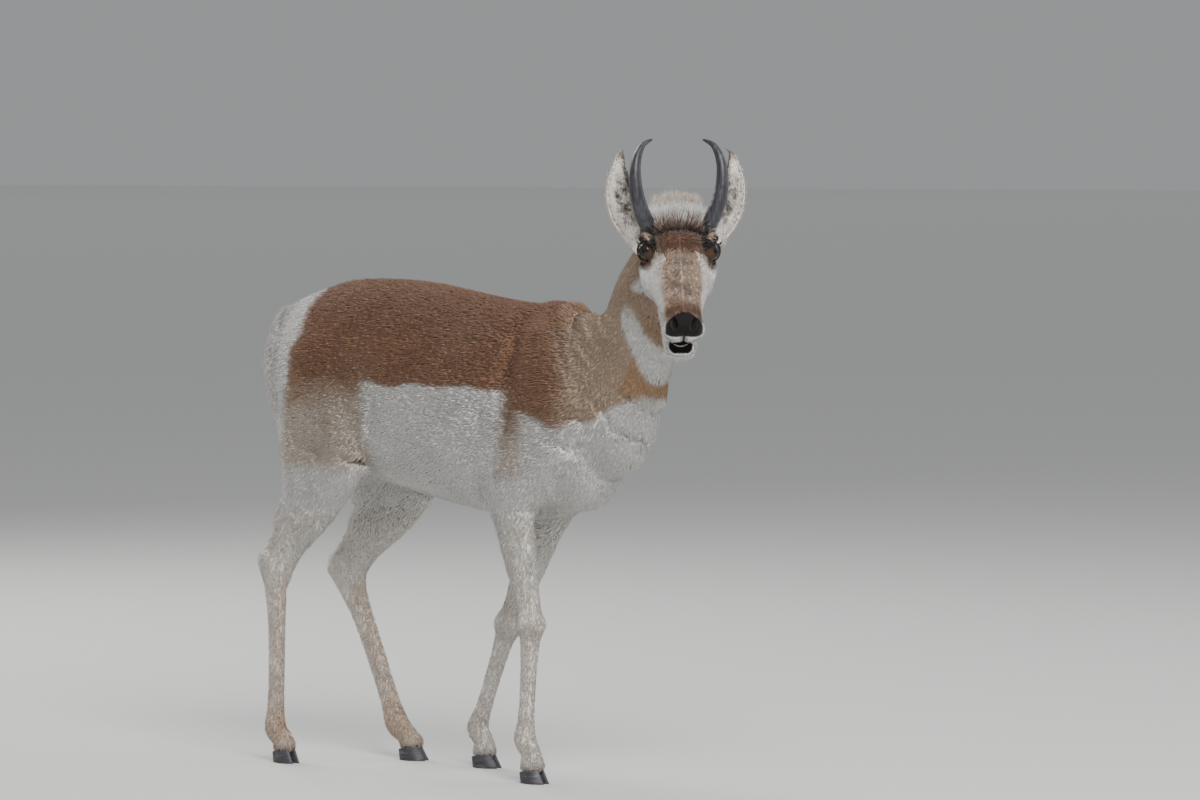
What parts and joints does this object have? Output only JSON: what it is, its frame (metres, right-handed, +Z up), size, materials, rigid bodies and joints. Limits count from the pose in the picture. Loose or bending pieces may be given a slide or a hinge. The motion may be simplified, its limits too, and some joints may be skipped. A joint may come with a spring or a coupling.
{
  "type": "pronghorn",
  "caption": "Young male pronghorn walking slowly, head turned to its right and mouth slightly open, tan and white short coat, dark hooked horns.",
  "frame": {"origin": "on the floor, under the middle of the animal's bounding box", "axes": "+X to the animal's left, -Y the way its body faces, +Z up"},
  "size_m": [0.3602, 1.126, 1.1915],
  "materials": {
    "coat": "matte short hair",
    "horn": "dull keratin with ridges",
    "hoof": "satin keratin",
    "eye": "wet and glossy",
    "tooth": "satin enamel",
    "nose": "moist bare skin"
  },
  "bodies": {
    "root": {"trunk": "coat", "neck": "coat", "head": "coat", "tail": "coat", "ear_left": "coat", "eye_left": "eye", "horn_left": "horn", "ear_right": "coat", "eye_right": "eye", "horn_right": "horn", "teeth": "tooth", "foreleg_left_upper": "coat", "foreleg_left_lower": "coat", "foreleg_left_claw_a": "hoof", "foreleg_left_claw_b": "hoof", "foreleg_right_upper": "coat", "foreleg_right_lower": "coat", "foreleg_right_claw_a": "hoof", "foreleg_right_claw_b": "hoof", "hindleg_left_upper": "coat", "hindleg_left_lower": "coat", "hindleg_left_claw_a": "hoof", "hindleg_left_claw_b": "hoof", "hindleg_right_upper": "coat", "hindleg_right_lower": "coat", "hindleg_right_claw_a": "hoof", "hindleg_right_claw_b": "hoof"}
  },
  "joints": []
}
